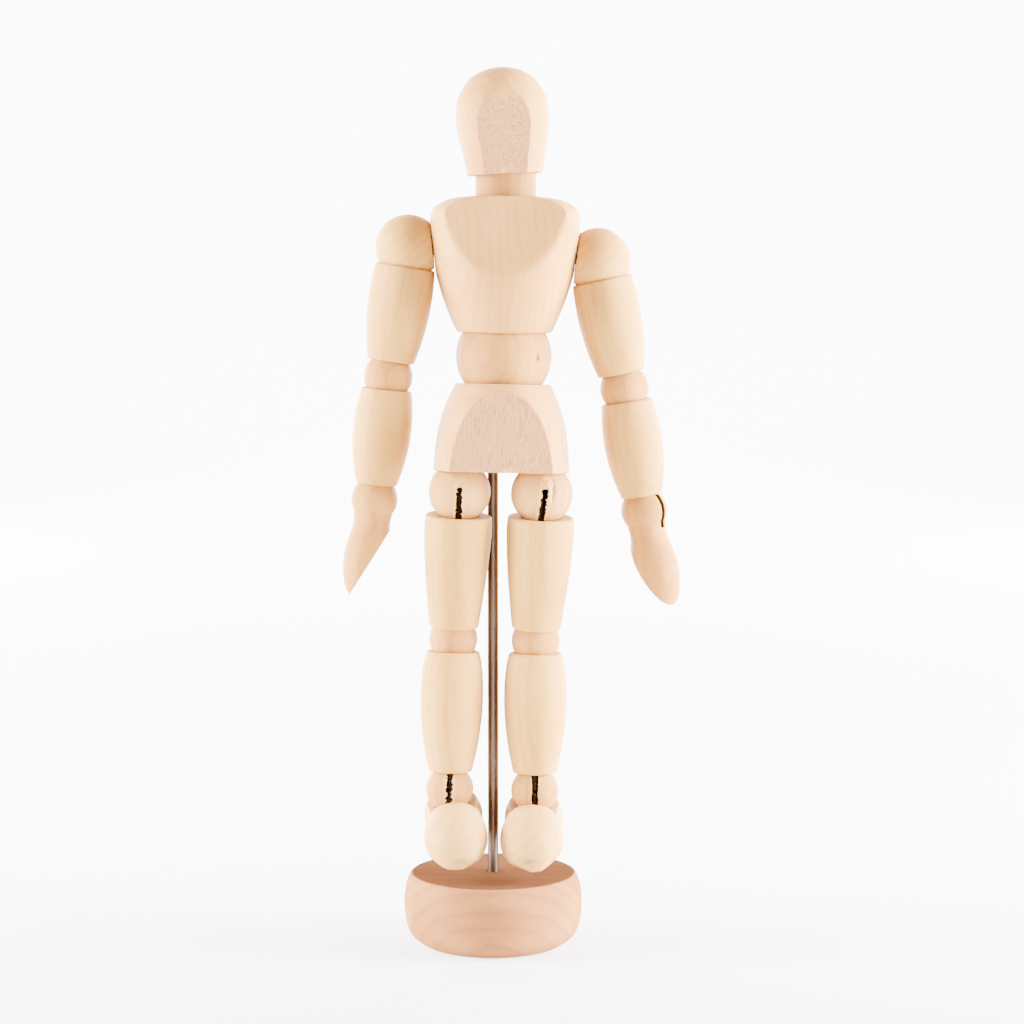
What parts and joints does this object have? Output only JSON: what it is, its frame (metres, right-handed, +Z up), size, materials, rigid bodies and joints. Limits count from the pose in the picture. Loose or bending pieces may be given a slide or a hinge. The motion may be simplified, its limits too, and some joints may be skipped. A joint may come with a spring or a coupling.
{
  "type": "artist mannequin",
  "caption": "Jointed wooden artist mannequin with an egg-shaped head, turned limbs, ball joints and mitten hands, held up by a steel rod on a round wooden base.",
  "frame": {"origin": "centre of the base's underside, on the table, under the rod", "axes": "+Z up along the rod; -Y is the way the figure faces; +X is the figure's own left"},
  "size_m": [0.0767, 0.041, 0.2001],
  "materials": {
    "figure_wood": "pale sanded hardwood, a thin satin varnish",
    "base_wood": "pinkish tan hardwood, satin",
    "rod_steel": "drawn wire rod, polished",
    "spring_steel": "dark spring wire",
    "pin_steel": "plain wire nail"
  },
  "bodies": {
    "stand": {"base": "base_wood", "rod": "rod_steel"},
    "pelvis": {"pelvis": "figure_wood", "pelvis_pins": "pin_steel"},
    "waist_ball": {"waist_ball": "figure_wood", "waist_spring": "spring_steel"},
    "chest": {"chest": "figure_wood", "chest_pins": "pin_steel", "shoulder_spring": "spring_steel"},
    "neck": {"neck": "figure_wood", "neck_spring": "spring_steel"},
    "head": {"head": "figure_wood", "head_pin": "pin_steel"},
    "right_shoulder": {"right_shoulder_cap": "figure_wood", "right_shoulder_pin": "pin_steel"},
    "right_upper_arm": {"right_upper_arm": "figure_wood"},
    "right_elbow": {"right_elbow": "figure_wood", "right_arm_spring": "spring_steel"},
    "right_forearm": {"right_forearm": "figure_wood", "right_forearm_pins": "pin_steel"},
    "right_hand": {"right_hand": "figure_wood", "right_hand_pin": "pin_steel", "right_wrist_spring": "spring_steel"},
    "right_hip": {"right_hip_ball": "figure_wood", "right_hip_spring": "spring_steel"},
    "right_thigh": {"right_thigh": "figure_wood", "right_thigh_pins": "pin_steel"},
    "right_knee": {"right_knee": "figure_wood", "right_knee_spring": "spring_steel"},
    "right_calf": {"right_calf": "figure_wood", "right_calf_pins": "pin_steel"},
    "right_ankle": {"right_ankle_ball": "figure_wood", "right_ankle_spring": "spring_steel"},
    "right_foot": {"right_foot": "figure_wood", "right_foot_pin": "pin_steel"},
    "left_shoulder": {"left_shoulder_cap": "figure_wood", "left_shoulder_pin": "pin_steel"},
    "left_upper_arm": {"left_upper_arm": "figure_wood"},
    "left_elbow": {"left_elbow": "figure_wood", "left_arm_spring": "spring_steel"},
    "left_forearm": {"left_forearm": "figure_wood", "left_forearm_pins": "pin_steel"},
    "left_hand": {"left_hand": "figure_wood", "left_hand_pin": "pin_steel", "left_wrist_spring": "spring_steel"},
    "left_hip": {"left_hip_ball": "figure_wood", "left_hip_spring": "spring_steel"},
    "left_thigh": {"left_thigh": "figure_wood", "left_thigh_pins": "pin_steel"},
    "left_knee": {"left_knee": "figure_wood", "left_knee_spring": "spring_steel"},
    "left_calf": {"left_calf": "figure_wood", "left_calf_pins": "pin_steel"},
    "left_ankle": {"left_ankle_ball": "figure_wood", "left_ankle_spring": "spring_steel"},
    "left_foot": {"left_foot": "figure_wood", "left_foot_pin": "pin_steel"}
  },
  "joints": [
    {"name": "figure_turn", "type": "hinge", "parent": "stand", "child": "pelvis", "pos_m": [0, 0, 0.1093], "axis": [0, 0, 1], "continuous": true},
    {"name": "waist_twist", "type": "hinge", "parent": "pelvis", "child": "waist_ball", "pos_m": [0.00249, -0.00221, 0.13534], "axis": [0.0226, 0.061, 0.9979], "range_deg": [-60, 60], "deforming": ["waist_spring"]},
    {"name": "chest_bend", "type": "hinge", "parent": "waist_ball", "child": "chest", "pos_m": [0.00249, -0.00221, 0.13534], "axis": [0.9999, 0.0006, -0.0122], "range_deg": [-20, 40], "deforming": ["waist_spring"]},
    {"name": "neck_turn", "type": "hinge", "parent": "chest", "child": "neck", "pos_m": [0.00296, -0.00154, 0.17364], "axis": [0.0122, 0.0174, 0.9998], "range_deg": [-80, 80], "deforming": ["neck_spring"]},
    {"name": "head_nod", "type": "hinge", "parent": "neck", "child": "head", "pos_m": [0.00296, -0.00154, 0.17364], "axis": [0.9982, 0.0365, 0.0482], "range_deg": [-15, 20], "deforming": ["neck_spring"]},
    {"name": "right_shoulder_raise", "type": "hinge", "parent": "chest", "child": "right_shoulder", "pos_m": [-0.01901, -0.0018, 0.15981], "axis": [-0.9957, -0.0025, -0.0923], "range_deg": [-90, 180], "deforming": ["shoulder_spring", "right_arm_spring"]},
    {"name": "right_arm_out", "type": "hinge", "parent": "right_shoulder", "child": "right_upper_arm", "pos_m": [-0.01901, -0.0018, 0.15981], "axis": [-0.0009, 0.9998, -0.0174], "range_deg": [0, 60], "deforming": ["right_arm_spring"]},
    {"name": "right_elbow_twist", "type": "hinge", "parent": "right_upper_arm", "child": "right_elbow", "pos_m": [-0.0236, -0.00231, 0.13082], "axis": [0.1564, 0.0174, 0.9875], "range_deg": [-60, 60], "deforming": ["right_arm_spring"]},
    {"name": "right_elbow_bend", "type": "hinge", "parent": "right_elbow", "child": "right_forearm", "pos_m": [-0.0236, -0.00231, 0.13082], "axis": [-0.9934, 0.0012, 0.1149], "range_deg": [0, 55], "deforming": ["right_arm_spring"]},
    {"name": "right_wrist_bend", "type": "hinge", "parent": "right_forearm", "child": "right_hand", "pos_m": [-0.02682, -0.0028, 0.10301], "axis": [-0.0009, 0.9998, -0.0174], "range_deg": [-20, 70], "deforming": ["right_wrist_spring"]},
    {"name": "right_hip_out", "type": "hinge", "parent": "pelvis", "child": "right_hip", "pos_m": [-0.0075, -0.00479, 0.10486], "axis": [-0.0014, 0.9981, -0.061], "range_deg": [0, 33], "deforming": ["right_hip_spring"]},
    {"name": "right_hip_swing", "type": "hinge", "parent": "right_hip", "child": "right_thigh", "pos_m": [-0.0075, -0.00479, 0.10486], "axis": [-0.999, 0.0014, 0.0453], "range_deg": [0, 60], "deforming": ["right_hip_spring"]},
    {"name": "right_knee_twist", "type": "hinge", "parent": "right_thigh", "child": "right_knee", "pos_m": [-0.00903, -0.00272, 0.07106], "axis": [-0.0452, 0.0611, -0.9971], "range_deg": [-5, 25], "deforming": ["right_knee_spring"]},
    {"name": "right_knee_bend", "type": "hinge", "parent": "right_knee", "child": "right_calf", "pos_m": [-0.00903, -0.00272, 0.07106], "axis": [0.9944, 0.1018, -0.0289], "range_deg": [-10, 48], "deforming": ["right_knee_spring"]},
    {"name": "right_ankle_turn", "type": "hinge", "parent": "right_calf", "child": "right_ankle", "pos_m": [-0.00988, -0.00422, 0.03671], "axis": [-0.0245, -0.0436, -0.9987], "range_deg": [-5, 14], "deforming": ["right_ankle_spring"]},
    {"name": "right_foot_tilt", "type": "hinge", "parent": "right_ankle", "child": "right_foot", "pos_m": [-0.00988, -0.00422, 0.03671], "axis": [-0.9909, -0.0303, -0.1309], "range_deg": [-5, 45], "deforming": ["right_ankle_spring"]},
    {"name": "left_shoulder_raise", "type": "hinge", "parent": "chest", "child": "left_shoulder", "pos_m": [0.02375, -0.00181, 0.15678], "axis": [-0.9932, 0.0012, 0.1167], "range_deg": [-90, 180], "deforming": ["shoulder_spring", "left_arm_spring"]},
    {"name": "left_arm_out", "type": "hinge", "parent": "left_shoulder", "child": "left_upper_arm", "pos_m": [0.02375, -0.00181, 0.15678], "axis": [0.0009, -0.9998, 0.0174], "range_deg": [0, 60], "deforming": ["left_arm_spring"]},
    {"name": "left_elbow_twist", "type": "hinge", "parent": "left_upper_arm", "child": "left_elbow", "pos_m": [0.02976, -0.00231, 0.12806], "axis": [-0.2045, 0.0169, 0.9787], "range_deg": [-60, 60], "deforming": ["left_arm_spring"]},
    {"name": "left_elbow_bend", "type": "hinge", "parent": "left_elbow", "child": "left_forearm", "pos_m": [0.02976, -0.00231, 0.12806], "axis": [-0.9866, -0.0037, -0.1633], "range_deg": [0, 55], "deforming": ["left_arm_spring"]},
    {"name": "left_wrist_bend", "type": "hinge", "parent": "left_forearm", "child": "left_hand", "pos_m": [0.03433, -0.00279, 0.10044], "axis": [-0.5638, -0.8213, -0.0873], "range_deg": [-20, 70], "deforming": ["left_wrist_spring"]},
    {"name": "left_hip_out", "type": "hinge", "parent": "pelvis", "child": "left_hip", "pos_m": [0.01109, -0.00479, 0.10444], "axis": [0.0014, -0.9981, 0.061], "range_deg": [0, 33], "deforming": ["left_hip_spring"]},
    {"name": "left_hip_swing", "type": "hinge", "parent": "left_hip", "child": "left_thigh", "pos_m": [0.01109, -0.00479, 0.10444], "axis": [-0.9992, 0.0011, 0.0401], "range_deg": [-25, 60], "deforming": ["left_hip_spring"]},
    {"name": "left_knee_twist", "type": "hinge", "parent": "left_thigh", "child": "left_knee", "pos_m": [0.00974, -0.00272, 0.07063], "axis": [0.04, -0.0611, 0.9973], "range_deg": [-5, 25], "deforming": ["left_knee_spring"]},
    {"name": "left_knee_bend", "type": "hinge", "parent": "left_knee", "child": "left_calf", "pos_m": [0.00974, -0.00272, 0.07063], "axis": [0.9942, -0.1076, -0.0007], "range_deg": [-10, 48], "deforming": ["left_knee_spring"]},
    {"name": "left_ankle_turn", "type": "hinge", "parent": "left_calf", "child": "left_ankle", "pos_m": [0.00955, -0.00422, 0.03626], "axis": [0.0054, 0.0437, 0.999], "range_deg": [-5, 14], "deforming": ["left_ankle_spring"]},
    {"name": "left_foot_tilt", "type": "hinge", "parent": "left_ankle", "child": "left_foot", "pos_m": [0.00955, -0.00422, 0.03626], "axis": [-0.9981, 0.04, 0.0473], "range_deg": [-5, 45], "deforming": ["left_ankle_spring"]}
  ]
}
